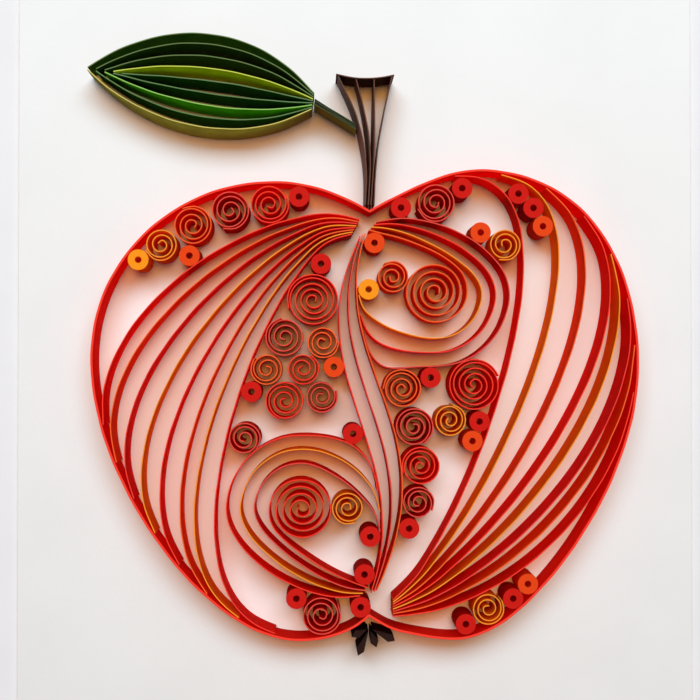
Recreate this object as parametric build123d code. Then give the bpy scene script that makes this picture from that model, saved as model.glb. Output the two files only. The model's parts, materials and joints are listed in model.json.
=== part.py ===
from build123d import *
import math
import os

# Paper, millimetres
PAPER = 0.35                # thickness of one paper strip
STRIP_DEPTH = 10.0          # width of the strip, which stands on its edge
GLUE = 0.1                  # glue line where two pieces lie side by side
SWEEP_SAG = 0.22            # flat facets of a long curve fall this far inside it
COIL_SAG = 0.26             # and those of a coil's turn
TURN_SAMPLES = 16           # headings read along a curve to find how far it turns
SHORTEST_FACET = 1.05       # a coil's last facet joins the one before when it is shorter

# Backing card, a portrait sheet lying flat with its middle at the origin
CARD_WIDTH = 210.0
CARD_HEIGHT = 297.0
CARD_THICK = 1.2

# Apple outline, two strips glued face to face on each half
OUTLINE_THICK = 0.7
AXIS_X = 3.0                # the apple's axis, right of the card's middle
NOTCH_Y = 42.0              # where the halves meet at the top
DIP_Y = -80.5               # where they meet at the bottom
BASE_Y = -87.5              # lowest point of both lobes
LEFT_SHOULDER = (-28.5, 50.5)   # highest point, sideways from the axis
LEFT_SIDE = (-83.5, -3.0)       # widest point
LEFT_BASE_X = -21.3
RIGHT_SHOULDER = (33.0, 54.5)
RIGHT_SIDE = (82.0, -5.0)
RIGHT_BASE_X = 27.0
NOTCH_SLOPE = 29.0          # rise of the outline out of the notch, degrees
LEFT_DIP_SLOPE = 42.0
RIGHT_DIP_SLOPE = 48.0
# How far the outline keeps its direction after the notch, before and after the
# shoulder, the side and the base, and before the dip
LEFT_PULLS = (10.3, 10.4, 29.8, 30.5, 37.0, 27.0, 10.4, 5.0)
RIGHT_PULLS = (11.0, 9.0, 31.5, 34.0, 37.0, 20.0, 10.0, 5.0)

# Combs, strips that fan out of one root and end along the outline
COMB_STRIPS = 8
COMB_STEP = 0.72            # spacing of the strips where they are glued together
COMB_TILT = 5.0             # angle at which the strips run into the outline, degrees
LEFT_ROOT = (-3.0, -2.7)    # from the notch
LEFT_STACK = -118.0         # direction from strip to strip at the root, degrees
RIGHT_ROOT = (7.0, -0.1)    # from the dip
RIGHT_STACK = 88.0
# First and last strip: direction out of the root and how far it is kept, then the
# share of the outline where the strip ends and how far it follows the outline there
LEFT_LEAVE = (156.0, 171.0)
LEFT_ROOT_PULL = (24.0, 22.0)
LEFT_END = (0.54, 0.88)
LEFT_END_PULL = (38.0, 45.0)
RIGHT_LEAVE = (0.0, 32.0)
RIGHT_ROOT_PULL = (30.0, 24.0)
RIGHT_END = (0.51, 0.11)
RIGHT_END_PULL = (40.0, 48.0)

# Divider, an S of three strips between notch and dip
DIVIDER_STRIPS = 3
DIVIDER_STEP = 0.75
DIVIDER_TOP = (-2.8, -7.6)  # from the notch
DIVIDER_FOOT = (0.6, 6.9)   # from the dip
DIVIDER_TOP_LEAVE = (-116.0, -108.0)    # first and last strip, degrees
DIVIDER_TOP_PULL = (48.0, 42.0)
DIVIDER_FOOT_LEAVE = (72.0, 64.0)
DIVIDER_FOOT_PULL = (47.0, 55.0)

# Swirls, an open scroll inside loops that come back to the divider
SCROLL_RADIUS = 10.0
SCROLL_TURNS = 4.2
SCROLL_CORE = 1.2
SCROLL_LEAD = 60.0          # the scroll ends this far round from its tail's direction
TAIL_PULL = 9.0             # how far the tail keeps its direction at both ends
LOOP_COUNT = 3
LOOP_GAP = 4.2
LOOP_PULL = 12.0            # how far a loop keeps its direction at the root
REST_PULL = 8.0             # and at the divider
LOOP_PULL_STEP = 3.0        # more of both for each loop further out
SWIRL_STEP = 1.15           # spacing of scroll and loops at their root
SWIRL_STACK = 45.0          # direction of that spacing, degrees
UPPER_SWIRL = (23.0, 17.5)
UPPER_ROOT = (-0.2, -5.8)   # from the notch
UPPER_TAIL = -12.0          # direction of the scroll's tail, degrees
UPPER_LEAVE = (2.0, 16.0)   # of the first and the last loop
UPPER_REST = (0.17, 0.28)   # their ends, as shares of the divider
LOWER_SWIRL = (-17.5, -48.5)
LOWER_ROOT = (-0.4, 8.5)    # from the dip
LOWER_TAIL = 165.0
LOWER_LEAVE = (180.0, 190.0)
LOWER_REST = (0.83, 0.72)

# Loose coils and tight pegs
COIL_PITCH = 1.7            # one turn to the next
COIL_CORE = 0.9
LARGE_COIL = 8.0
MIDDLE_COIL = 6.0
SMALL_COIL = 5.0
PEG_RADIUS = 3.1
PEG_HOLE = 1.0
PEG_FACETS = 12
PEG_HOLE_FACETS = 6
NEST_TRIES = 60             # tries to push a round piece against its neighbours
NEST_EASE = 0.7             # share of each move that is made
NEST_REACH = 2.0            # longest move
NEST_MISS = 0.001           # how near is near enough

# Leaf
LEAF_TIP = (-81.9, 84.4)
LEAF_JOINT = (-14.2, 75.2)
LEAF_STRIPS = 9
LEAF_RISE = 14.2            # upper edge above the line from joint to tip
LEAF_DROP = 12.3            # lower edge below it
LEAF_PULL = 20.0            # how far the ends of a strip keep their direction
JOINT_STEP = 0.6            # spacing of the strips at the joint
TIP_STEP = 0.32             # strips either side of the middle one, at the tip
TIP_STAGGER = 2.6           # each inner strip stops this much short of the next
STALK_STRIPS = 3
STALK_SEAT = 0.4            # share of the stem's left strip, from its top
STALK_SPREAD = 0.02

# Stem
STEM_TOP_Y = 83.4
STEM_TOP_WIDTH = 17.6
STEM_TOP_SHIFT = -1.3       # middle of the cap from the apple's axis
STEM_DISH = 1.2             # hollow of the cap strip
STEM_INSET = 0.7            # outer strips in from the cap's ends
STEM_WAIST_Y = 68.0
STEM_WAIST_WIDTH = 7.4
STEM_FOOT_WIDTH = 2.7
STEM_FOOT_GAP = 1.7         # foot above the notch
STEM_STRIPS = 4

# Calyx, pinched rolls that spread out under the dip
CALYX_ROLLS = ((206.0, 6.0), (247.0, 9.0), (290.0, 6.2), (333.0, 8.6))  # direction, reach
CALYX_DROP = 3.6
CALYX_WIDTH = 2.5
CALYX_WALL = 0.6
CALYX_INNER = 0.9           # inner tips stand this far from the middle
CALYX_PINCH = 1.8           # the outer tip beyond the widest place

# A cubic curve's middle stands at this share of its handles, and a quarter circle's
# handles are this share of its radius
CURVE_CROWN = 0.75
ROUND_PULL = 0.5523

NOTCH = Vector(AXIS_X, NOTCH_Y)
DIP = Vector(AXIS_X, DIP_Y)

LEFT_INNER = f"left_comb_{COMB_STRIPS}"     # the combs' inner strips, which coils lean on
RIGHT_INNER = f"right_comb_{COMB_STRIPS}"
RIGHT_NEXT = f"right_comb_{COMB_STRIPS - 1}"

nodes = {}
lines = {}
discs = {}


def polar(length, angle):
    """Vector of a length at an angle in degrees."""
    return Vector(length * math.cos(math.radians(angle)), length * math.sin(math.radians(angle)))


def across(direction):
    """Direction turned a quarter turn to the left."""
    return Vector(-direction.Y, direction.X)


def between(pair, index, count):
    """Value of one of a row of strips, from the first strip's to the last one's."""
    return pair[0] + (pair[1] - pair[0]) * index / (count - 1)


def facets(edge):
    """Points along a curve, close enough for the sag of its facets."""
    headings = [edge % (step / TURN_SAMPLES) for step in range(TURN_SAMPLES + 1)]
    turn = sum(math.radians(a.get_angle(b)) for a, b in zip(headings, headings[1:]))
    count = max(1, math.ceil(math.sqrt(edge.length * turn / (8 * SWEEP_SAG))))
    return [edge @ (step / count) for step in range(count + 1)]


def chain(*edges):
    """Points along curves that follow one another."""
    points = facets(edges[0])
    for edge in edges[1:]:
        points += facets(edge)[1:]
    return points


def spiral(centre, core, outer, turns, finish, sense):
    """Points from a coil's core to its outer end at the finish angle."""
    whole = 2 * math.pi * turns
    turned = 0.0
    points = []
    while turned < whole:
        radius = core + (outer - core) * turned / whole
        points.append(centre + polar(radius, finish - sense * math.degrees(whole - turned)))
        turned += 2 * math.acos(1 - COIL_SAG / radius)
    end = centre + polar(outer, finish)
    if (points[-1] - end).length < SHORTEST_FACET:
        points.pop()
    return points + [end]


def wall(points, thick=PAPER):
    """Paper strip that stands on the card along a line of points."""
    left = []
    right = []
    for index, point in enumerate(points):
        before = points[max(index - 1, 0)]
        after = points[min(index + 1, len(points) - 1)]
        ahead = (after - point if index < len(points) - 1 else point - before).normalized()
        behind = (point - before if index else after - point).normalized()
        along = (ahead + behind).normalized()
        reach = thick / 2 / along.dot(ahead)
        left.append(point + across(along) * reach)
        right.append(point - across(along) * reach)
    section = make_face(Polyline(*left, *reversed(right), close=True))
    return Pos(0, 0, CARD_THICK) * extrude(section, STRIP_DEPTH)


def add(node, solid):
    """Put a solid in a node, which may hold several like pieces."""
    nodes.setdefault(node, []).append(solid.solid())


def strip(node, name, points, thick=PAPER):
    """Stand a strip on the card and keep its line for the pieces that lean on it."""
    lines[name] = (Polyline(*points), thick / 2)
    add(node, wall(points, thick))


def beside(name, share, side, half_width=PAPER / 2):
    """Middle of a piece glued to the side of a strip, left of it for 1 and right for -1."""
    line, half = lines[name]
    return line @ share + across(line % share) * side * (half + GLUE + half_width)


def room(point, neighbour):
    """Free distance from a point to the face of a strip or a round piece."""
    if neighbour in discs:
        centre, radius = discs[neighbour]
        return (point - centre).length - radius
    line, half = lines[neighbour]
    return line.distance_to(point) - half


def nest(name, radius, first, place, second):
    """Middle of a round piece that touches two neighbours.

    It starts against the first, at an angle round it or at a share along it on the side
    of the second, and is moved until it touches both.
    """
    if first in discs:
        centre, reach = discs[first]
        middle = centre + polar(reach + GLUE + radius, place)
    else:
        sides = [beside(first, place, side, radius) for side in (1, -1)]
        middle = min(sides, key=lambda spot: room(spot, second))
    for _ in range(NEST_TRIES):
        miss = [room(middle, other) - radius - GLUE for other in (first, second)]
        if max(abs(value) for value in miss) < NEST_MISS:
            break
        slopes = []
        for other, value in zip((first, second), miss):
            right = room(middle + Vector(NEST_MISS, 0), other) - radius - GLUE
            up = room(middle + Vector(0, NEST_MISS), other) - radius - GLUE
            slopes.append(((right - value) / NEST_MISS, (up - value) / NEST_MISS))
        (a, b), (c, d) = slopes
        move = Vector(b * miss[1] - d * miss[0], c * miss[0] - a * miss[1]) / (a * d - b * c)
        middle += move * min(NEST_EASE, NEST_REACH / move.length)
    else:
        print("no place found for", name)
    discs[name] = (middle, radius)
    return middle


def loose_coil(name, radius, first, place, second, finish, sense):
    """Coil let open to its size, its outer end glued on its own last turn."""
    middle = nest(name, radius, first, place, second)
    outer = radius - PAPER / 2
    inner = outer - PAPER - COIL_SAG - GLUE
    turns = (inner - COIL_CORE) / COIL_PITCH
    opening = spiral(middle, COIL_CORE, inner, turns, finish, sense)
    add(name, wall(opening[:-1] + spiral(middle, inner, outer, 1, finish, sense)))


def peg(node, name, first, place, second):
    """Tight roll with the hole that the rolling tool leaves."""
    middle = nest(name, PEG_RADIUS, first, place, second)
    roll = RegularPolygon(PEG_RADIUS, PEG_FACETS) - RegularPolygon(PEG_HOLE, PEG_HOLE_FACETS)
    add(node, Pos(middle.X, middle.Y, CARD_THICK) * extrude(roll, STRIP_DEPTH))


def outline_half(node, sense, shoulder, side, base_x, dip_slope, pulls):
    """Half of the apple, from the notch over the shoulder and the side to the dip."""
    top = Vector(AXIS_X + shoulder[0], shoulder[1])
    wide = Vector(AXIS_X + side[0], side[1])
    low = Vector(AXIS_X + base_x, BASE_Y)
    out = Vector(sense, 0)
    up = Vector(0, 1)
    rise = polar(1, NOTCH_SLOPE)
    fall = polar(1, -dip_slope)
    apart = out * OUTLINE_THICK / 2
    points = chain(
        Bezier(NOTCH + apart, NOTCH + Vector(rise.X * sense, rise.Y) * pulls[0], top - out * pulls[1], top),
        Bezier(top, top + out * pulls[2], wide + up * pulls[3], wide),
        Bezier(wide, wide - up * pulls[4], low + out * pulls[5], low),
        Bezier(low, low - out * pulls[6], DIP + Vector(fall.X * sense, fall.Y) * pulls[7], DIP + apart),
    )
    strip(node, node, points, OUTLINE_THICK)


def comb(node, outline, sense, root, stack, leave, root_pull, end, end_pull):
    """Strips from one root that end along the outline; each pair is for first and last strip."""
    for index in range(COMB_STRIPS):
        start = root + polar(COMB_STEP, stack) * index
        share = between(end, index, COMB_STRIPS)
        rest = beside(outline, share, sense)
        out = polar(between(root_pull, index, COMB_STRIPS), between(leave, index, COMB_STRIPS))
        arrive = (lines[outline][0] % share * sense).rotate(Axis.Z, -COMB_TILT)
        held = arrive * between(end_pull, index, COMB_STRIPS)
        strip(node, f"{node}_{index + 1}", facets(Bezier(start, start + out, rest - held, rest)))


def divider():
    """S of strips that opens towards both swirls."""
    for index in range(DIVIDER_STRIPS):
        step = Vector(DIVIDER_STEP, DIVIDER_STEP / 2) * index
        top = NOTCH + Vector(*DIVIDER_TOP) + step
        foot = DIP + Vector(*DIVIDER_FOOT) + step
        down, up = (
            polar(between(pull, index, DIVIDER_STRIPS), between(leave, index, DIVIDER_STRIPS))
            for pull, leave in (
                (DIVIDER_TOP_PULL, DIVIDER_TOP_LEAVE),
                (DIVIDER_FOOT_PULL, DIVIDER_FOOT_LEAVE),
            )
        )
        strip("divider_comb", f"divider_{index + 1}", facets(Bezier(top, top + down, foot + up, foot)))


def swirl(name, side, centre, root, tail, leave, against, rests):
    """Scroll with its tail at the root, and the loops round it that end on the divider.

    side is 1 for the swirl right of the divider and -1 for the one turned half round, left of it.
    """
    finish = tail + SCROLL_LEAD
    coil = spiral(centre, SCROLL_CORE, SCROLL_RADIUS, SCROLL_TURNS, finish, 1)
    onward = across(polar(TAIL_PULL, finish))
    back_in = root + polar(TAIL_PULL, tail)
    strip(
        f"{name}_scroll", f"{name}_scroll",
        coil[:-1] + facets(Bezier(coil[-1], coil[-1] + onward, back_in, root)),
    )
    for index in range(LOOP_COUNT):
        start = root + polar(SWIRL_STEP, SWIRL_STACK) * side * (index + 1)
        radius = SCROLL_RADIUS + LOOP_GAP * (index + 1)
        far = centre + Vector(side * radius, 0)
        low = centre - Vector(0, side * radius)
        down = Vector(0, -side * radius * ROUND_PULL)
        back = Vector(-side * radius * ROUND_PULL, 0)
        more = LOOP_PULL_STEP * index
        away = polar(LOOP_PULL + more, between(leave, index, LOOP_COUNT))
        share = between(rests, index, LOOP_COUNT)
        rest = beside(against, share, side)
        held = lines[against][0] % share * side * (REST_PULL + more)
        points = chain(
            Bezier(start, start + away, far - down, far),
            Bezier(far, far + down, low - back, low),
            Bezier(low, low + back, rest + held, rest),
        )
        strip(f"{name}_loops", f"{name}_loop_{index + 1}", points)


def leaf():
    """Strips that spread between the joint and the tip, bound at both ends."""
    joint = Vector(*LEAF_JOINT)
    tip = Vector(*LEAF_TIP)
    along = (tip - joint).normalized()
    up = across(along) * -1
    pull = along * LEAF_PULL
    middle = (LEAF_STRIPS - 1) / 2
    edges = {0: "leaf_upper_edge", LEAF_STRIPS - 1: "leaf_lower_edge"}
    for index in range(LEAF_STRIPS):
        place = middle - index
        bulge = up * between((LEAF_RISE, -LEAF_DROP), index, LEAF_STRIPS) / CURVE_CROWN
        start = joint + up * JOINT_STEP * place
        aside = math.copysign(TIP_STEP, place) if place else 0
        end = tip + up * aside - along * TIP_STAGGER * (middle - abs(place))
        curve = Bezier(start, start + pull + bulge, end - pull + bulge, end)
        strip(edges.get(index, "leaf_veins"), f"leaf_{index + 1}", facets(curve))
    for index in range(STALK_STRIPS):
        place = index - (STALK_STRIPS - 1) / 2
        start = joint - along * JOINT_STEP + up * JOINT_STEP * place
        seat = beside("stem_1", STALK_SEAT - STALK_SPREAD * place, -1)
        strip("leaf_stalk", f"stalk_{index + 1}", [start, seat])


def stem():
    """Flared stem: strips that gather at the notch, closed on top by a dished cap strip."""
    middle = Vector(AXIS_X + STEM_TOP_SHIFT, STEM_TOP_Y)
    half = Vector(STEM_TOP_WIDTH / 2, 0)
    dish = Vector(0, -STEM_DISH / CURVE_CROWN)
    cap = Bezier(middle - half, middle - half / 3 + dish, middle + half / 3 + dish, middle + half)
    strip("stem_cap", "stem_cap", facets(cap))
    inset = STEM_INSET / cap.length
    names = {0: "stem_left", STEM_STRIPS - 1: "stem_right"}
    for index in range(STEM_STRIPS):
        top = beside("stem_cap", between((inset, 1 - inset), index, STEM_STRIPS), -1)
        sideways = between((-0.5, 0.5), index, STEM_STRIPS)
        waist = Vector(AXIS_X + STEM_WAIST_WIDTH * sideways, STEM_WAIST_Y)
        foot = NOTCH + Vector(STEM_FOOT_WIDTH * sideways, STEM_FOOT_GAP)
        strip(names.get(index, "stem_ribs"), f"stem_{index + 1}", facets(Spline(top, waist, foot)))


def calyx():
    """Rolls pinched to a point at both ends, spread out like the blades of a fan."""
    hub = DIP - Vector(0, CALYX_DROP)
    half = CALYX_WIDTH / 2
    for angle, reach in CALYX_ROLLS:
        wide = reach - CALYX_PINCH
        kite = Polyline((CALYX_INNER, 0), (wide, -half), (reach, 0), (wide, half), close=True)
        shape = make_face(kite)
        roll = shape - offset(shape, -CALYX_WALL, kind=Kind.INTERSECTION)
        add("calyx", Pos(hub.X, hub.Y, CARD_THICK) * Rot(0, 0, angle) * extrude(roll, STRIP_DEPTH))


# Card and outline
on_table = (Align.CENTER, Align.CENTER, Align.MIN)
add("backing_card", Box(CARD_WIDTH, CARD_HEIGHT, CARD_THICK, align=on_table))
outline_half("outline_left", -1, LEFT_SHOULDER, LEFT_SIDE, LEFT_BASE_X, LEFT_DIP_SLOPE, LEFT_PULLS)
outline_half("outline_right", 1, RIGHT_SHOULDER, RIGHT_SIDE, RIGHT_BASE_X, RIGHT_DIP_SLOPE, RIGHT_PULLS)

# Combs, divider and swirls
comb("left_comb", "outline_left", 1, NOTCH + Vector(*LEFT_ROOT), LEFT_STACK,
     LEFT_LEAVE, LEFT_ROOT_PULL, LEFT_END, LEFT_END_PULL)
comb("right_comb", "outline_right", -1, DIP + Vector(*RIGHT_ROOT), RIGHT_STACK,
     RIGHT_LEAVE, RIGHT_ROOT_PULL, RIGHT_END, RIGHT_END_PULL)
divider()
swirl("upper", 1, Vector(*UPPER_SWIRL), NOTCH + Vector(*UPPER_ROOT), UPPER_TAIL, UPPER_LEAVE,
      "divider_3", UPPER_REST)
swirl("lower", -1, Vector(*LOWER_SWIRL), DIP + Vector(*LOWER_ROOT), LOWER_TAIL, LOWER_LEAVE,
      "divider_1", LOWER_REST)

# Loose coils and pegs: the neighbour each starts against, the angle round it or the share
# along it, and the other neighbour; then the angle of a coil's end and the way it is rolled
loose_coil("left_coil_1", LARGE_COIL, LEFT_INNER, 0.18, "divider_1", 200, 1)
loose_coil("left_coil_2", MIDDLE_COIL, "left_coil_1", -127, LEFT_INNER, 100, -1)
loose_coil("left_coil_3", SMALL_COIL, "left_coil_1", -77, "divider_1", 0, 1)
loose_coil("left_coil_4", SMALL_COIL, "left_coil_2", -60, "left_coil_3", 60, 1)
loose_coil("left_coil_5", SMALL_COIL, "left_coil_2", -119, LEFT_INNER, 140, -1)
loose_coil("left_coil_6", MIDDLE_COIL, "left_coil_4", -119, "left_coil_5", 250, 1)
loose_coil("left_coil_7", SMALL_COIL, LEFT_INNER, 0.52, "lower_loop_3", 320, -1)
loose_coil("left_coil_8", SMALL_COIL, "left_coil_6", 7, "left_coil_4", 20, 1)
peg("left_pegs", "left_peg_1", "left_coil_1", 78, LEFT_INNER)
peg("left_pegs", "left_peg_2", "left_coil_3", -66, "divider_1")
peg("left_pegs", "left_peg_3", "left_coil_5", -124, LEFT_INNER)
peg("left_pegs", "left_peg_4", "divider_1", 0.55, "lower_loop_3")

loose_coil("right_coil_1", LARGE_COIL, RIGHT_INNER, 0.48, "upper_loop_3", 20, -1)
loose_coil("right_coil_2", MIDDLE_COIL, "divider_3", 0.45, "upper_loop_3", 180, 1)
loose_coil("right_coil_3", MIDDLE_COIL, "right_coil_2", -73, "divider_3", 300, -1)
loose_coil("right_coil_4", SMALL_COIL, "right_coil_1", -125, "right_coil_3", 80, 1)
loose_coil("right_coil_5", MIDDLE_COIL, "right_coil_3", -80, "divider_3", 200, 1)
loose_coil("right_coil_6", SMALL_COIL, "right_coil_5", -94, "divider_3", 330, -1)
peg("right_pegs", "right_peg_1", "right_coil_2", 21, "upper_loop_3")
peg("right_pegs", "right_peg_2", "right_coil_1", -82, RIGHT_INNER)
peg("right_pegs", "right_peg_3", "right_peg_2", -110, RIGHT_INNER)
peg("right_pegs", "right_peg_4", "right_coil_6", -110, "divider_3")

loose_coil("shoulder_coil_1", MIDDLE_COIL, "outline_left", 0.13, "left_comb_1", 30, 1)
loose_coil("shoulder_coil_2", MIDDLE_COIL, "shoulder_coil_1", -171, "outline_left", 250, -1)
loose_coil("shoulder_coil_3", MIDDLE_COIL, "shoulder_coil_2", -158, "outline_left", 120, 1)
loose_coil("shoulder_coil_4", SMALL_COIL, "shoulder_coil_3", -148, "outline_left", 200, -1)
peg("shoulder_pegs", "shoulder_peg_1", "shoulder_coil_3", -96, "left_comb_1")
peg("shoulder_pegs", "shoulder_peg_2", "shoulder_coil_4", -146, "outline_left")
peg("shoulder_pegs", "shoulder_peg_3", "shoulder_coil_1", 14, "outline_left")

loose_coil("base_coil_1", SMALL_COIL, "outline_right", 0.83, "right_comb_1", 30, 1)
peg("base_pegs", "base_peg_1", "base_coil_1", 24, "outline_right")
peg("base_pegs", "base_peg_2", "base_peg_1", 44, "outline_right")
peg("base_pegs", "base_peg_3", "base_coil_1", -143, "outline_right")

loose_coil("crown_coil_1", SMALL_COIL, RIGHT_INNER, 0.79, "upper_loop_3", 250, -1)
loose_coil("crown_coil_2", MIDDLE_COIL, "outline_right", 0.08, "upper_loop_3", 200, -1)
peg("crown_pegs", "crown_peg_1", "crown_coil_1", 154, "upper_loop_3")
peg("crown_pegs", "crown_peg_2", "outline_right", 0.035, "upper_loop_3")
peg("crown_pegs", "crown_peg_3", "crown_coil_2", 29, RIGHT_INNER)

loose_coil("foot_coil_1", MIDDLE_COIL, "outline_left", 0.94, "lower_loop_3", 30, 1)
peg("foot_pegs", "foot_peg_1", "outline_left", 0.99, "lower_loop_3")
peg("foot_pegs", "foot_peg_2", "foot_coil_1", 146, "lower_loop_3")

peg("upper_pegs", "upper_peg_1", "divider_3", 0.15, "upper_loop_1")
peg("upper_pegs", "upper_peg_2", "divider_3", 0.02, "upper_scroll")
loose_coil("upper_coil", SMALL_COIL, "upper_peg_1", 27, "upper_scroll", 120, 1)
peg("lower_pegs", "lower_peg_1", "divider_1", 0.85, "lower_loop_1")
peg("lower_pegs", "lower_peg_2", "divider_1", 0.96, "lower_scroll")
loose_coil("lower_coil", SMALL_COIL, "lower_loop_1", 0.87, "lower_scroll", 300, 1)

peg("cell_pegs", "cell_peg_1", RIGHT_NEXT, 0.9, RIGHT_INNER)
peg("cell_pegs", "cell_peg_2", "cell_peg_1", -50, RIGHT_NEXT)
peg("cell_pegs", "cell_peg_3", "cell_peg_2", -65, RIGHT_NEXT)

# Leaf, stem and calyx
stem()
leaf()
calyx()

os.makedirs("parts", exist_ok=True)
for node, solids in nodes.items():
    export_step(Compound(solids) if len(solids) > 1 else solids[0], f"parts/{node}.step")
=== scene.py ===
import json
import math

import bmesh
import bpy
import numpy as np
from mathutils import Matrix, Vector


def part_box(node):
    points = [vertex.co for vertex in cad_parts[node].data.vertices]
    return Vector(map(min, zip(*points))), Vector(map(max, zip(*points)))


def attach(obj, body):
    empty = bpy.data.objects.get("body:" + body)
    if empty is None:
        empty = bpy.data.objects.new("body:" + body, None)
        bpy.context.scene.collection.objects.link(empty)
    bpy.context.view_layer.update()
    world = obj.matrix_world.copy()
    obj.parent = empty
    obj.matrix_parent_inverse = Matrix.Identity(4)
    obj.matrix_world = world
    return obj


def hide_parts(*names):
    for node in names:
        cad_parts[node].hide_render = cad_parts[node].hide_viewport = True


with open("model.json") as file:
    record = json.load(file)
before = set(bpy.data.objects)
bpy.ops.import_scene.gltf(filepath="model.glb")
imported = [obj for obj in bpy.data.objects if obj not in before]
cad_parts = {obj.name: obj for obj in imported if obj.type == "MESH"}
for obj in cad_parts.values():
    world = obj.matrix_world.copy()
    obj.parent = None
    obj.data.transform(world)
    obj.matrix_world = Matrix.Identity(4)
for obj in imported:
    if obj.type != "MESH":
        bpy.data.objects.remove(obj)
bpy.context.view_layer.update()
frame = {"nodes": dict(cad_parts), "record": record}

# Backing card
# One sheet of thick white card with a fine tooth, cut square, so that its pressed layers show
# along the edges. It lies loose on the table and carries every strip of the picture.
CARD_EDGE = 0.0002          # softened rim of the cut, in metres
CARD_EDGE_ROWS = 3          # rows of faces round that rim
CARD_EDGE_ROUND = 0.6       # and how full they are
CARD_FOLD = 40              # degrees from which an edge of the card looks sharp
CARD_LEVEL = 0.9            # upright share of the normal of the card's two wide faces
CARD_WHITE = (240, 239, 236)
CARD_SHADE = (237, 236, 233)
CARD_CORE = (214, 209, 199)
CARD_CLOUDS = 34            # waves a metre of the shade of white
CARD_WEAVE = 700            # of the marks of the felt it was pressed on
CARD_TOOTH = 2600           # and of its grain
WEAVE_DEPTH = 0.00012
TOOTH_DEPTH = 0.00005
LAYER_WAVES = (120, 120, 4500)   # waves a metre of the cut, along it and from layer to layer
LAYER_DEPTH = 0.0001


def linear(colour):
    """Colour of a screen, 0 to 255, in the linear form that a shader takes."""
    shares = [value / 255 for value in colour]
    low_or_high = [s / 12.92 if s <= 0.04045 else ((s + 0.055) / 1.055) ** 2.4 for s in shares]
    return (*low_or_high, 1.0)


def shader(name, roughness, gloss):
    """New material with its node tree and its surface shader."""
    material = bpy.data.materials.new(name)
    material.use_nodes = True
    surface = material.node_tree.nodes["Principled BSDF"]
    surface.inputs["Roughness"].default_value = roughness
    surface.inputs["Specular IOR Level"].default_value = gloss
    return material, material.node_tree, surface


def noise(tree, waves, detail=3, stretch=(1, 1, 1), source="Object"):
    """Grey clouds with so many waves a metre, more of them along an axis by its stretch."""
    place = tree.nodes.new("ShaderNodeTexCoord")
    scaled = tree.nodes.new("ShaderNodeMapping")
    grey = tree.nodes.new("ShaderNodeTexNoise")
    scaled.inputs["Scale"].default_value = stretch
    grey.inputs["Scale"].default_value = waves
    grey.inputs["Detail"].default_value = detail
    tree.links.new(place.outputs[source], scaled.inputs["Vector"])
    tree.links.new(scaled.outputs["Vector"], grey.inputs["Vector"])
    return grey.outputs["Fac"]


def tinted(tree, grey, dark, light):
    """Colours that follow a grey value, between two that are each given with their grey."""
    ramp = tree.nodes.new("ShaderNodeValToRGB")
    for point, (place, colour) in zip(ramp.color_ramp.elements, (dark, light)):
        point.position = place
        point.color = colour
    tree.links.new(grey, ramp.inputs["Fac"])
    return ramp.outputs["Color"]


def raised(tree, grey, depth, strength, below=None):
    """Bump of a grey value, so many metres deep, over the bump below it."""
    bump = tree.nodes.new("ShaderNodeBump")
    bump.inputs["Strength"].default_value = strength
    bump.inputs["Distance"].default_value = depth
    tree.links.new(grey, bump.inputs["Height"])
    if below:
        tree.links.new(below, bump.inputs["Normal"])
    return bump.outputs["Normal"]


def set_piece(name, mesh, materials, slot, *nodes):
    """Put a mesh in the picture in the place of solids, with its finishes."""
    piece = bpy.data.objects.new(name, mesh)
    bpy.context.scene.collection.objects.link(piece)
    for material in materials:
        mesh.materials.append(material)
    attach(piece, "root")
    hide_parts(*nodes)


card_low, card_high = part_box("backing_card")
sheet = bmesh.new()
bmesh.ops.create_cube(sheet, size=1.0)
bmesh.ops.scale(sheet, vec=card_high - card_low, verts=sheet.verts)
bmesh.ops.translate(sheet, vec=(card_high + card_low) / 2, verts=sheet.verts)
bmesh.ops.bevel(
    sheet, geom=sheet.edges[:], affect="EDGES",
    offset=CARD_EDGE, segments=CARD_EDGE_ROWS, profile=CARD_EDGE_ROUND,
)
for face in sheet.faces:
    face.smooth = True
    face.material_index = 0 if abs(face.normal.z) > CARD_LEVEL else 1
card_mesh = bpy.data.meshes.new("backing_card_sheet")
sheet.to_mesh(card_mesh)
sheet.free()
card_mesh.set_sharp_from_angle(angle=math.radians(CARD_FOLD))

card_face, tree, surface = shader("white_card_face", roughness=0.82, gloss=0.25)
clouds = noise(tree, CARD_CLOUDS)
tree.links.new(
    tinted(tree, clouds, (0.3, linear(CARD_SHADE)), (0.62, linear(CARD_WHITE))),
    surface.inputs["Base Color"],
)
weave = raised(tree, noise(tree, CARD_WEAVE, detail=2), WEAVE_DEPTH, strength=0.25)
tooth = raised(tree, noise(tree, CARD_TOOTH, detail=4), TOOTH_DEPTH, strength=0.35, below=weave)
tree.links.new(tooth, surface.inputs["Normal"])

card_cut, tree, surface = shader("white_card_cut", roughness=0.9, gloss=0.15)
layers = noise(tree, 1, detail=2, stretch=LAYER_WAVES)
tree.links.new(
    tinted(tree, layers, (0.35, linear(CARD_CORE)), (0.6, linear(CARD_WHITE))),
    surface.inputs["Base Color"],
)
tree.links.new(raised(tree, layers, LAYER_DEPTH, strength=0.6), surface.inputs["Normal"])
set_piece("backing_card_sheet", card_mesh, (card_face, card_cut), "white_card", "backing_card")

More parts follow.
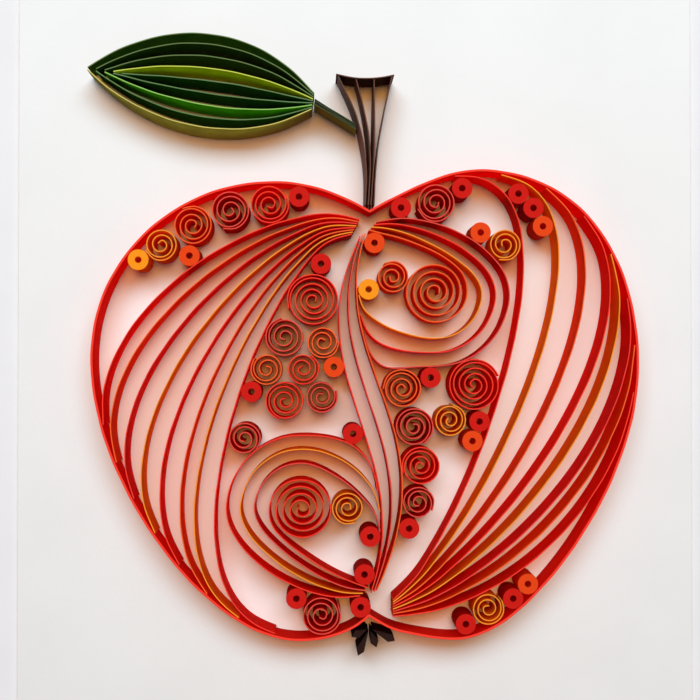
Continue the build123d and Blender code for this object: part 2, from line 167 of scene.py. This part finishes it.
# Apple outline
# Two bands of red paper, each of two strips glued face to face, bent round the apple's halves
# and stood on their edge. They are glued to the card and meet at the notch and at the dip.
RED = (255, 32, 10)
SEAM = 0.00003              # left between the halves where they meet
SOFT_EDGE = 0.00006         # rounding of a strip's cut edges
CUT_SLACK = 0.00012         # hand-cut strips are this much uneven along the top
LEAN = 0.00009              # and wander sideways this much
DRIFT_WAVES = (0.011, 0.023, 0.047)   # lengths of the waves of both
LOWER_ROW = 0.45            # rows up a strip's face, as shares of its height
UPPER_ROW = 0.85
TOP_SIDES = (3, 4, 5)       # sides of a strip's section along its cut top
LONGEST_STEP = 0.0013       # along a strip, between places where its section stands
SHARPEST_TURN = 7.0         # degrees between such places
FINE_STEP = 0.00012         # of the curve that they are picked from
STRAIGHT_PLACES = 8         # of them on a straight strip
STRIP_FOLD = 35             # degrees from which an edge of a strip looks sharp
TOP_LEVEL = 0.00001         # a solid's upper points lie within this of its top
PLACE_DIGITS = 7            # decimals in which the places of points that meet agree
SHINE_THROUGH = 0.75        # share of the light on a strip that goes into the thin paper
# tint of the painted highlight that pales the cut tops and ends of warm papers
WARM_HIGHLIGHT = (1.0, 0.62, 0.42)
PAPER_GLOSS = 0.06
PAPER_ROUGHNESS = 0.62      # of the paper's face on the whole
FIBRE_ROUGHNESS = (0.52, 0.74)   # and where it goes up and down with the fibres
CUT_ROUGHNESS = 0.85
DYE_CLOUDS = 210            # waves a metre of how deep the dye is
DYE_DEEP = 0.94             # and the lightness of its colour at both ends
DYE_LIGHT = 1.12
FIBRES = 1500               # waves a metre of the pressed fibres
FIBRE_STRETCH = (0.3, 1, 1)      # which lie along the strip
FIBRE_SHARE = 0.5           # of their shade in the colour
GRAIN = 5200                # waves a metre of the grain between them
FUZZ = 6500                 # and of the torn fibres on the cut
FIBRE_DEPTH = 0.00004
GRAIN_DEPTH = 0.00003
FUZZ_DEPTH = 0.00006
WHITE = (1, 1, 1, 1)
FIBRE_SHADE = (0.88, 0.86, 0.84, 1)
hand = np.random.default_rng(4)


def shaded(colour, factor):
    """Linear colour made lighter or darker."""
    return (*(min(1.0, value * factor) for value in colour[:3]), 1.0)


def paled_by_highlight(colour, highlight_tint, share):
    """Linear colour paled by a share towards the tint of a painted highlight."""
    return (*(value + (pale - value) * share for value, pale in zip(colour, highlight_tint)), 1.0)


def paper_face(name, colour, through):
    """Face of uncoated paper dyed right through, which lets a share of the light through."""
    dye = linear(colour)
    face, tree, surface = shader(name + "_face", PAPER_ROUGHNESS, PAPER_GLOSS)
    clouds = noise(tree, DYE_CLOUDS, detail=4)
    fibres = noise(tree, FIBRES, detail=4, stretch=FIBRE_STRETCH, source="UV")
    mixed = tree.nodes.new("ShaderNodeMix")
    mixed.data_type = "RGBA"
    mixed.blend_type = "MULTIPLY"
    mixed.inputs["Factor"].default_value = FIBRE_SHARE
    uneven_dye = tinted(tree, clouds, (0.3, shaded(dye, DYE_DEEP)), (0.7, shaded(dye, DYE_LIGHT)))
    tree.links.new(uneven_dye, mixed.inputs["A"])
    tree.links.new(tinted(tree, fibres, (0.35, FIBRE_SHADE), (0.62, WHITE)), mixed.inputs["B"])
    tree.links.new(mixed.outputs["Result"], surface.inputs["Base Color"])
    glow = tree.nodes.new("ShaderNodeBsdfTranslucent")
    tree.links.new(mixed.outputs["Result"], glow.inputs["Color"])
    both = tree.nodes.new("ShaderNodeMixShader")
    both.inputs["Fac"].default_value = through
    tree.links.new(surface.outputs["BSDF"], both.inputs[1])
    tree.links.new(glow.outputs["BSDF"], both.inputs[2])
    tree.links.new(both.outputs["Shader"], tree.nodes["Material Output"].inputs["Surface"])
    rough = tree.nodes.new("ShaderNodeMapRange")
    rough.inputs["To Min"].default_value = FIBRE_ROUGHNESS[0]
    rough.inputs["To Max"].default_value = FIBRE_ROUGHNESS[1]
    tree.links.new(fibres, rough.inputs["Value"])
    tree.links.new(rough.outputs["Result"], surface.inputs["Roughness"])
    pressed = raised(tree, fibres, FIBRE_DEPTH, strength=0.5)
    grain = raised(tree, noise(tree, GRAIN), GRAIN_DEPTH, strength=0.4, below=pressed)
    tree.links.new(grain, surface.inputs["Normal"])
    return face


def paper_cut(name, colour, pale, highlight_tint):
    """Fuzzy edge where dyed paper is cut, paled by a painted highlight towards a tint, by about a share
    that varies with the fuzz.
    """
    dye = linear(colour)
    cut, tree, surface = shader(name + "_cut", CUT_ROUGHNESS, PAPER_GLOSS)
    fuzz = noise(tree, FUZZ)
    # painted highlight: the cut is paled towards the tint by half to one and a half times the share,
    # unevenly with the fuzz
    faint_highlight = paled_by_highlight(dye, highlight_tint, pale * 0.5)
    strong_highlight = paled_by_highlight(dye, highlight_tint, pale * 1.5)
    tree.links.new(tinted(tree, fuzz, (0.3, faint_highlight), (0.7, strong_highlight)), surface.inputs["Base Color"])
    tree.links.new(raised(tree, fuzz, FUZZ_DEPTH, strength=0.7), surface.inputs["Normal"])
    return cut


def dyed_paper(name, colour, cut_highlight=0.06, highlight_tint=WARM_HIGHLIGHT, through=SHINE_THROUGH):
    """Finishes of a strip: its face and its cut edge, which carries a painted highlight."""
    return paper_face(name, colour, through), paper_cut(name, colour, cut_highlight, highlight_tint)


def top_loops(node):
    """Loops of points round the upper faces of a node's solids."""
    mesh = frame["nodes"][node].data
    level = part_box(node)[1].z - TOP_LEVEL
    spot = {}
    for point in mesh.vertices:
        if point.co.z > level:
            spot[point.index] = (round(point.co.x, PLACE_DIGITS), round(point.co.y, PLACE_DIGITS))
    sides = set()
    for face in mesh.polygons:
        corners = list(face.vertices)
        if all(corner in spot for corner in corners):
            sides.update((spot[a], spot[b]) for a, b in zip(corners, corners[1:] + corners[:1]))
    onward = {a: b for a, b in sides if (b, a) not in sides}
    loops = []
    while onward:
        point = min(onward)
        loop = []
        while point in onward:
            loop.append(point)
            point = onward.pop(point)
        loops.append(np.array(loop))
    return loops


def middle_line(loop):
    """Middle and thickness of a strip, from the loop round its top, whose short sides are its ends."""
    sides = np.linalg.norm(np.roll(loop, -1, 0) - loop, axis=1)
    first, second = sorted(np.argsort(sides)[:2])
    left = loop[first + 1:second + 1]
    right = np.roll(loop, -second - 1, 0)[:len(left)][::-1]
    return (left + right) / 2, sides[first]


def smooth(points):
    """Places along the natural cubic curve through the points, closer where it bends."""
    gaps = np.linalg.norm(np.diff(points, axis=0), axis=1)
    slopes = np.diff(points, axis=0) / gaps[:, None]
    place = np.concatenate([[0], np.cumsum(gaps)])
    count = len(points)
    system = np.eye(count)
    wanted = np.zeros((count, 2))
    for i in range(1, count - 1):
        system[i, i - 1:i + 2] = gaps[i - 1], 2 * (gaps[i - 1] + gaps[i]), gaps[i]
        wanted[i] = 6 * (slopes[i] - slopes[i - 1])
    bend = np.linalg.solve(system, wanted)
    fine = np.linspace(0, place[-1], math.ceil(place[-1] / FINE_STEP) + 1)
    i = np.clip(np.searchsorted(place, fine, side="right") - 1, 0, count - 2)
    width = gaps[i][:, None]
    after = (fine - place[i])[:, None] / width
    before = 1 - after
    curve = before * points[i] + after * points[i + 1]
    curve += ((before ** 3 - before) * bend[i] + (after ** 3 - after) * bend[i + 1]) * width ** 2 / 6
    heading = np.unwrap(np.arctan2(*np.gradient(curve, axis=0).T[::-1]))
    picked = [0]
    for k in range(1, len(curve) - 1):
        turned = abs(heading[k] - heading[picked[-1]])
        if turned > math.radians(SHARPEST_TURN) or fine[k] - fine[picked[-1]] > LONGEST_STEP:
            picked.append(k)
    return curve[picked + [len(curve) - 1]]


def wander(run, size):
    """Slow uneven drift along a strip."""
    drift = np.zeros(len(run))
    for wave in DRIFT_WAVES:
        drift += np.sin(run / wave * 2 * math.pi + hand.uniform(0, 2 * math.pi)) / len(DRIFT_WAVES)
    return drift * size


def paper_mesh(name, points, faces, finish, uv, fold):
    """Mesh of a piece of paper: which finish a face has, and where on the sheet a point lies."""
    mesh = bpy.data.meshes.new(name)
    mesh.from_pydata(points.tolist(), [], faces)
    mesh.polygons.foreach_set("material_index", finish)
    mesh.polygons.foreach_set("use_smooth", [True] * len(faces))
    layer = mesh.uv_layers.new(name="UVMap")
    corners = np.zeros(len(mesh.loops), dtype=np.int32)
    mesh.loops.foreach_get("vertex_index", corners)
    layer.data.foreach_set("uv", uv[corners].ravel())
    mesh.update()
    mesh.set_sharp_from_angle(angle=math.radians(fold))
    return mesh


def swept_strip(name, rows, uv):
    """Mesh of a strip from its section at each place along it, closed at both ends."""
    count, around = rows.shape[:2]
    faces = []
    finish = []
    for here in range(0, (count - 1) * around, around):
        there = here + around
        for j in range(around):
            ahead = (j + 1) % around
            faces.append((here + j, here + ahead, there + ahead, there + j))
            # the cut top, and below it both ends, take the cut finish with its painted highlight
            finish.append(1 if j in TOP_SIDES else 0)
    faces.append(tuple(reversed(range(around))))
    faces.append(tuple(range((count - 1) * around, count * around)))
    finish += [1, 1]
    return paper_mesh(name, rows.reshape(-1, 3), faces, finish, uv.reshape(-1, 2), STRIP_FOLD)


def standing_strip(name, points, thick, low, high, bow, mitre):
    """Mesh of a paper strip that stands on its edge along a line.

    bow is which way and how far its top leans half-way along, and mitre the place across the
    picture where both ends are cut to meet another strip.
    """
    line = smooth(points) if len(points) > 2 else np.linspace(points[0], points[1], STRAIGHT_PLACES)
    along = np.gradient(line, axis=0)
    along /= np.linalg.norm(along, axis=1)[:, None]
    aside = np.column_stack([-along[:, 1], along[:, 0]])
    run = np.concatenate([[0], np.cumsum(np.linalg.norm(np.diff(line, axis=0), axis=1))])
    lean = wander(run, LEAN) + aside[len(aside) // 2] @ bow * np.sin(math.pi * run / run[-1])
    third_to_whole = (1 + wander(run, 0.5)) / 1.5
    tall = high - low - CUT_SLACK * third_to_whole
    half = thick / 2
    rim = half - SOFT_EDGE
    near_side = [
        (half, 0, 0), (half, LOWER_ROW, 0), (half, UPPER_ROW, 0), (half, 1, SOFT_EDGE), (rim, 1, 0)]
    far_side = [(-offset, share, drop) for offset, share, drop in reversed(near_side)]
    section = near_side + far_side
    rows = np.zeros((len(line), len(section), 3))
    uv = np.zeros((len(line), len(section), 2))
    for j, (offset, share, drop) in enumerate(section):
        rows[:, j, :2] = line + aside * (offset + lean * share ** 2)[:, None]
        rows[:, j, 2] = low + tall * share - drop
        uv[:, j, 0] = run
        uv[:, j, 1] = rows[:, j, 2] + offset
    if mitre is not None:
        for end in (0, -1):
            rows[end, :, :2] += np.outer((mitre - rows[end, :, 0]) / along[end, 0], along[end])
    return swept_strip(name, rows, uv)


def stand(node, names, papers, slots, order, bow=(0, 0), mitre=None):
    """Make the strips of a node in an order along it, each with its own name and paper."""
    low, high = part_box(node)
    strips = [middle_line(loop) for loop in top_loops(node)]
    strips.sort(key=lambda strip: order(strip[0]))
    for (points, thick), name, paper, slot in zip(strips, names, papers, slots):
        mesh = standing_strip(name, points, thick, low.z, high.z, bow, mitre)
        set_piece(name, mesh, paper, slot, node)


def rightwards(points):
    """Order of strips from the left one to the right."""
    return points[:, 0].mean()


red_paper = dyed_paper("red_paper", RED)
axis = (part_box("outline_left")[1].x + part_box("outline_right")[0].x) / 2
for outline, side in (("outline_left", -1), ("outline_right", 1)):
    meeting = axis + side * SEAM / 2
    stand(outline, [outline + "_band"], [red_paper], ["red_paper"], rightwards, mitre=meeting)

# Combs
# Two fans of eight single strips. Each fan is glued together at its root, beside the notch or
# the dip, and the free ends spread out and are glued one after another along the outline.
FLAME = (255, 88, 10)
ORANGE = (255, 148, 12)
ROSE = (246, 35, 30)
CRIMSON = (234, 19, 15)
flame_paper = dyed_paper("flame_paper", FLAME)
orange_paper = dyed_paper("orange_paper", ORANGE)
rose_paper = dyed_paper("rose_paper", ROSE)
# the crimson paper's cut tops get a stronger painted highlight
crimson_paper = dyed_paper("crimson_paper", CRIMSON, cut_highlight=0.12)
apple_low, apple_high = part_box("outline_left")[0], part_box("outline_right")[1]
apple_middle = np.array(((apple_low + apple_high) / 2).xy)


def from_rim(points):
    """Order of strips from the apple's rim inwards."""
    return -np.linalg.norm(points[len(points) // 2] - apple_middle)


comb_papers = (
    red_paper, flame_paper, rose_paper, orange_paper, red_paper, flame_paper, orange_paper, red_paper)
comb_slots = (
    "red_paper", "flame_paper", "red_paper", "orange_paper",
    "red_paper", "flame_paper", "orange_paper", "red_paper",
)
for comb in ("left_comb", "right_comb"):
    names = [f"{comb}_strip_{index + 1}" for index in range(len(comb_papers))]
    stand(comb, names, comb_papers, comb_slots, from_rim)

# Divider
# Three strips glued together near both ends, which part in the middle. They run in an S from
# under the notch to above the dip and hold the ends of both swirls.
stand(
    "divider_comb",
    ("divider_strip_1", "divider_strip_2", "divider_strip_3"),
    (red_paper, crimson_paper, flame_paper),
    ("red_paper", "crimson_paper", "flame_paper"),
    rightwards,
)

# Swirls
# A loose scroll, rolled on a tool and let open, sits inside three strips bent into loops. The
# scroll's tail and the loops share one glued root, and the loops come back to the divider.
slot_papers = {
    "red_paper": red_paper,
    "flame_paper": flame_paper,
    "orange_paper": orange_paper,
    "crimson_paper": crimson_paper,
}


def by_size(points):
    """Order of loops from the inner one outwards."""
    return np.ptp(points[:, 0])


stand("upper_scroll", ["upper_scroll_strip"], [flame_paper], ["flame_paper"], rightwards)
stand("lower_scroll", ["lower_scroll_strip"], [red_paper], ["red_paper"], rightwards)
for swirl, slots in (
    ("upper_loops", ("orange_paper", "red_paper", "crimson_paper")),
    ("lower_loops", ("crimson_paper", "orange_paper", "red_paper")),
):
    names = [f"{swirl}_strip_{index + 1}" for index in range(len(slots))]
    stand(swirl, names, [slot_papers[slot] for slot in slots], slots, by_size)

# Loose coils
# Strips rolled up round a needle, let open to a size and closed with a dab of glue on the last
# turn. Each is pushed in between its neighbours and glued to them and to the card.
node_slots = {subpart["node"]: subpart["material_slot"] for subpart in frame["record"]["subparts"]}
for coil in sorted(node for node in frame["nodes"] if "coil" in node):
    slot = node_slots[coil]
    stand(coil, [coil + "_roll"], [slot_papers[slot]], [slot], rightwards)

# Pegs
# Strips rolled tight from end to end, which leaves a disc of fine rings round the hole of the
# rolling tool. They fill corners and lie in short rows along a strip.
PEG_RING = 0.00035          # one turn of paper
PEG_GROOVE = 0.00007        # depth of the line between two turns
PEG_SUNK = 0.2              # share of that depth by which the turns lie under the solid's top
PEG_STEPS = 84              # round the disc
RING_STEPS = 5              # across one turn
PEG_FOLD = 50               # degrees from which an edge of a peg looks sharp
CENTRE_DIGITS = 5           # decimals in which the centres of a peg's hole and rim agree
AMBER = (252, 150, 12)
PEG_FLAME = (232, 66, 8)
PEG_RED = (206, 10, 4)
# the rolls' ringed tops are cut edges and carry a faint painted highlight
peg_red = dyed_paper("peg_red", PEG_RED, cut_highlight=0.015)
peg_amber = dyed_paper("peg_amber", AMBER, cut_highlight=0.02)
peg_flame = dyed_paper("peg_flame", PEG_FLAME, cut_highlight=0.015)


def tight_roll(name, centre, hole, radius, low, high):
    """Mesh of a tight roll, its turns showing as a spiral of low ridges on top."""
    turns = np.arange(0, (radius - hole) / PEG_RING, 1 / RING_STEPS)
    radii = np.append(hole + turns * PEG_RING, radius)
    angles = np.linspace(0, 2 * math.pi, PEG_STEPS, endpoint=False)
    start = hand.uniform(0, 2 * math.pi)
    points = []
    uv = []
    for angle in angles + start:
        share = ((radii - hole) / PEG_RING - angle / (2 * math.pi)) % 1
        ridge = np.sqrt(np.abs(np.sin(share * math.pi)))
        top = high - PEG_GROOVE * (1 + PEG_SUNK - ridge)
        out = np.array([math.cos(angle), math.sin(angle)])
        section = [(hole, low)] + list(zip(radii, top)) + [(radius, low)]
        points += [(*(centre + out * reach), height) for reach, height in section]
        uv += [(angle * reach, height + reach) for reach, height in section]
    around = len(radii) + 2
    faces = []
    finish = []
    for k in range(PEG_STEPS):
        here = k * around
        there = (k + 1) % PEG_STEPS * around
        for j in range(around):
            ahead = (j + 1) % around
            faces.append((here + j, there + j, there + ahead, here + ahead))
            # the ringed top takes the cut finish with its painted highlight
            finish.append(1 if 0 < j < around - 2 else 0)
    return paper_mesh(name, np.array(points), faces, finish, np.array(uv), PEG_FOLD)


peg_papers = {
    "red_paper": (peg_red, peg_red, peg_flame),
    "orange_paper": (peg_amber, peg_flame, peg_red),
}
for group in sorted(node for node in frame["nodes"] if node.endswith("pegs")):
    slot = node_slots[group]
    papers = peg_papers[slot]
    low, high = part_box(group)
    loops = top_loops(group)
    loops.sort(key=lambda loop: (round(loop[:, 0].mean(), CENTRE_DIGITS), len(loop)))
    for index, (hole, rim) in enumerate(zip(loops[0::2], loops[1::2])):
        centre = rim.mean(0)
        radius = np.linalg.norm(rim - centre, axis=1).max()
        opening = np.linalg.norm(hole - centre, axis=1).max()
        name = f"{group}_roll_{index + 1}"
        mesh = tight_roll(name, centre, opening, radius, low.z, high.z)
        set_piece(name, mesh, papers[index % len(papers)], slot, group)

# Stem
# Four brown strips gathered at the notch and spread out above it, closed on top by a short
# dished strip. The cells between them are open down to the card.
CAP_BROWN = (84, 40, 30)
STEM_BROWN = (124, 82, 72)
BROWN_THROUGH = 0.15        # dark paper lets little light through
RIB_BOW = (0.0006, 0)       # the strips lean this far to the right
UPRIGHT = (0, 0)
# cap and stem strips share the cap's cut finish, with its painted highlight
cap_paper = dyed_paper("cap_brown", CAP_BROWN, cut_highlight=0.08, through=BROWN_THROUGH)
stem_paper = (paper_face("stem_brown", STEM_BROWN, BROWN_THROUGH), cap_paper[1])
for node, names, paper, bow in (
    ("stem_cap", ["stem_cap_strip"], cap_paper, UPRIGHT),
    ("stem_left", ["stem_left_strip"], stem_paper, RIB_BOW),
    ("stem_ribs", ["stem_rib_left", "stem_rib_right"], stem_paper, RIB_BOW),
    ("stem_right", ["stem_right_strip"], stem_paper, UPRIGHT),
):
    stand(node, names, [paper] * len(names), ["brown_paper"] * len(names), rightwards, bow)

# Leaf
# Nine green strips of several shades, bound together at the joint and at the tip and spread
# apart in between. Three short dark strips make the stalk, glued to the side of the stem.
DEEP_GREEN = (86, 114, 52)
FOREST_GREEN = (68, 116, 44)
OLIVE_GREEN = (204, 214, 34)
MOSS_GREEN = (128, 196, 40)
KHAKI_GREEN = (206, 192, 92)
BARK_GREEN = (52, 62, 34)
# tint of the painted highlight that pales the cut tops of the green papers
COOL_HIGHLIGHT = (0.78, 0.86, 0.66)
VEIN_BOW = (0, 0.00065)     # the inner strips lean this far up the leaf
EDGE_BOW = (0, 0.0012)      # and the lower edge this far
# the number after each colour is that paper's share of painted highlight on its cut top
deep_green = dyed_paper("deep_green", DEEP_GREEN, 0.06, COOL_HIGHLIGHT)
forest_green = dyed_paper("forest_green", FOREST_GREEN, 0.1, COOL_HIGHLIGHT)
olive_green = dyed_paper("olive_green", OLIVE_GREEN, 0.12, COOL_HIGHLIGHT)
moss_green = dyed_paper("moss_green", MOSS_GREEN, 0.16, COOL_HIGHLIGHT)
khaki_green = dyed_paper("khaki_green", KHAKI_GREEN, 0.06, COOL_HIGHLIGHT)
bark_green = dyed_paper("bark_green", BARK_GREEN, 0.03, COOL_HIGHLIGHT)
lit_bark = (khaki_green[0], bark_green[1])


def downwards(points):
    """Order of strips from the upper one down."""
    return -points[:, 1].mean()


vein_papers = (deep_green, deep_green, olive_green, forest_green, forest_green, moss_green, forest_green)
vein_names = [f"leaf_vein_{index + 1}" for index in range(len(vein_papers))]
stalk_names = ("leaf_stalk_upper", "leaf_stalk_middle", "leaf_stalk_lower")
for node, names, papers, bow in (
    ("leaf_upper_edge", ["leaf_upper_strip"], [deep_green], UPRIGHT),
    ("leaf_veins", vein_names, vein_papers, VEIN_BOW),
    ("leaf_lower_edge", ["leaf_lower_strip"], [khaki_green], EDGE_BOW),
    ("leaf_stalk", stalk_names, (bark_green, bark_green, lit_bark), UPRIGHT),
):
    stand(node, names, papers, ["green_paper"] * len(names), downwards, bow)

# Calyx
# Four small rolls of near-black brown paper, each pinched to a point at both ends, fanned out
# under the dip. Their turns lie so close that they look solid.
CALYX_BROWN = (44, 24, 20)
CALYX_ROLLS = 4
CALYX_TURNS = 4
CALYX_CREST = 0.05          # share of the roll from the outer side of a turn to its highest line
CALYX_SLOPE = 0.2           # and to its inner side
CALYX_TOP = 0.0002          # faces within this of the top have the cut's finish
# the rolls' flat tops take the cut finish with a faint painted highlight
calyx_paper = dyed_paper("calyx_brown", CALYX_BROWN, cut_highlight=0.004)


def pinched_roll(name, rim, low, high):
    """Mesh of a pinched roll: its rim drawn in turn by turn to a line, each turn a low step."""
    spine = (rim[0] + rim[2]) / 2
    rings = [(1.0, low)]
    for turn in range(CALYX_TURNS):
        outer = 1 - turn / CALYX_TURNS
        rings.append((outer, high - PEG_GROOVE))
        rings.append((outer - CALYX_CREST, high))
        rings.append((outer - CALYX_SLOPE, high - PEG_GROOVE / 3))
    roll = bmesh.new()
    loops = []
    for keep, height in rings:
        loops.append([roll.verts.new((*(spine + (corner - spine) * keep), height)) for corner in rim])
    for lower, upper in zip(loops, loops[1:]):
        for j in range(len(rim)):
            ahead = (j + 1) % len(rim)
            roll.faces.new((lower[j], lower[ahead], upper[ahead], upper[j]))
    roll.faces.new(loops[-1])
    roll.faces.new(reversed(loops[0]))
    bmesh.ops.recalc_face_normals(roll, faces=roll.faces[:])
    layer = roll.loops.layers.uv.new("UVMap")
    for face in roll.faces:
        face.material_index = 1 if face.calc_center_median().z > high - CALYX_TOP else 0
        for corner in face.loops:
            corner[layer].uv = (corner.vert.co.x + corner.vert.co.y, corner.vert.co.z)
    mesh = bpy.data.meshes.new(name)
    roll.to_mesh(mesh)
    roll.free()
    return mesh


low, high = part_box("calyx")
rims = sorted(top_loops("calyx"), key=lambda loop: np.ptp(loop[:, 0]) * np.ptp(loop[:, 1]))
for index, rim in enumerate(sorted(rims[-CALYX_ROLLS:], key=rightwards)):
    name = f"calyx_roll_{index + 1}"
    set_piece(name, pinched_roll(name, rim, low.z, high.z), calyx_paper, "brown_paper", "calyx")

# Studio
# A pale table top, a wide soft lamp like a window beyond the picture's upper edge, a smaller
# warm lamp nearly above, a dim room with a pale backdrop and a camera that looks down.
FLOOR_PALE = (238, 237, 237)
FLOOR_HALF = 0.9
FLOOR_CLOUDS = 60           # waves a metre of its shade
WINDOW_PLACE = (0.0, 1.12, 1.55)
WINDOW_SIZE = (2.4, 1.0)
WINDOW_COLOUR = (0.515, 0.70, 0.82)
WINDOW_WATTS = 61.5
OVERHEAD_PLACE = (0.0, 0.32, 1.92)
OVERHEAD_SIZE = (0.64, 0.64)
OVERHEAD_COLOUR = (0.39, 0.175, 0.045)
OVERHEAD_WATTS = 41.5
SURROUND = (0.04, 0.07, 0.10, 1.0)
BACKDROP = (0.8, 0.8, 0.8, 1.0)
EYE = (-0.01348, -0.00358, 0.32933)
AIM = (-0.00253, -0.00008, 0.0)
FOCAL_PIXELS = 1053.3
PICTURE_PIXELS = 700
SENSOR_WIDTH = 36.0         # millimetres
NEAREST = 0.01              # that the camera sees

floor_mesh = bpy.data.meshes.new("table_top")
floor_corners = [(x * FLOOR_HALF, y * FLOOR_HALF, 0) for x, y in ((-1, -1), (1, -1), (1, 1), (-1, 1))]
floor_mesh.from_pydata(floor_corners, [], [(0, 1, 2, 3)])
floor = bpy.data.objects.new("table_top", floor_mesh)
bpy.context.scene.collection.objects.link(floor)
table_pale, tree, surface = shader("table_pale", roughness=0.8, gloss=0.2)
pale = linear(FLOOR_PALE)
clouds = noise(tree, FLOOR_CLOUDS)
tree.links.new(tinted(tree, clouds, (0.3, shaded(pale, 0.97)), (0.7, pale)), surface.inputs["Base Color"])
floor_mesh.materials.append(table_pale)

for name, place, size, colour, watts in (
    ("window_lamp", WINDOW_PLACE, WINDOW_SIZE, WINDOW_COLOUR, WINDOW_WATTS),
    ("overhead_lamp", OVERHEAD_PLACE, OVERHEAD_SIZE, OVERHEAD_COLOUR, OVERHEAD_WATTS),
):
    lamp_data = bpy.data.lights.new(name, "AREA")
    lamp_data.shape = "RECTANGLE"
    lamp_data.size, lamp_data.size_y = size
    lamp_data.energy = watts
    lamp_data.color = colour
    lamp = bpy.data.objects.new(name, lamp_data)
    lamp.location = place
    lamp.rotation_mode = "QUATERNION"
    lamp.rotation_quaternion = Vector(place).to_track_quat("Z", "Y")
    bpy.context.scene.collection.objects.link(lamp)

# Only the camera sees the pale backdrop: there is no metal or glass here to show it, and it
# would light the paper through its back.
world = bpy.data.worlds.new("surround")
world.use_nodes = True
tree = world.node_tree
room = tree.nodes["Background"]
room.inputs["Color"].default_value = SURROUND
backdrop = tree.nodes.new("ShaderNodeBackground")
backdrop.inputs["Color"].default_value = BACKDROP
seen = tree.nodes.new("ShaderNodeLightPath")
either = tree.nodes.new("ShaderNodeMixShader")
tree.links.new(seen.outputs["Is Camera Ray"], either.inputs["Fac"])
tree.links.new(room.outputs["Background"], either.inputs[1])
tree.links.new(backdrop.outputs["Background"], either.inputs[2])
tree.links.new(either.outputs["Shader"], tree.nodes["World Output"].inputs["Surface"])
bpy.context.scene.world = world

camera_data = bpy.data.cameras.new("camera")
camera_data.sensor_width = SENSOR_WIDTH
camera_data.lens = SENSOR_WIDTH * FOCAL_PIXELS / PICTURE_PIXELS
camera_data.clip_start = NEAREST
camera = bpy.data.objects.new("camera", camera_data)
camera.location = EYE
camera_back = (Vector(EYE) - Vector(AIM)).normalized()
camera_right = Vector((0, 1, 0)).cross(camera_back).normalized()
camera_up = camera_back.cross(camera_right)
camera.rotation_euler = Matrix((camera_right, camera_up, camera_back)).transposed().to_euler()
bpy.context.scene.collection.objects.link(camera)
bpy.context.scene.camera = camera
bpy.context.scene.view_settings.view_transform = "Standard"
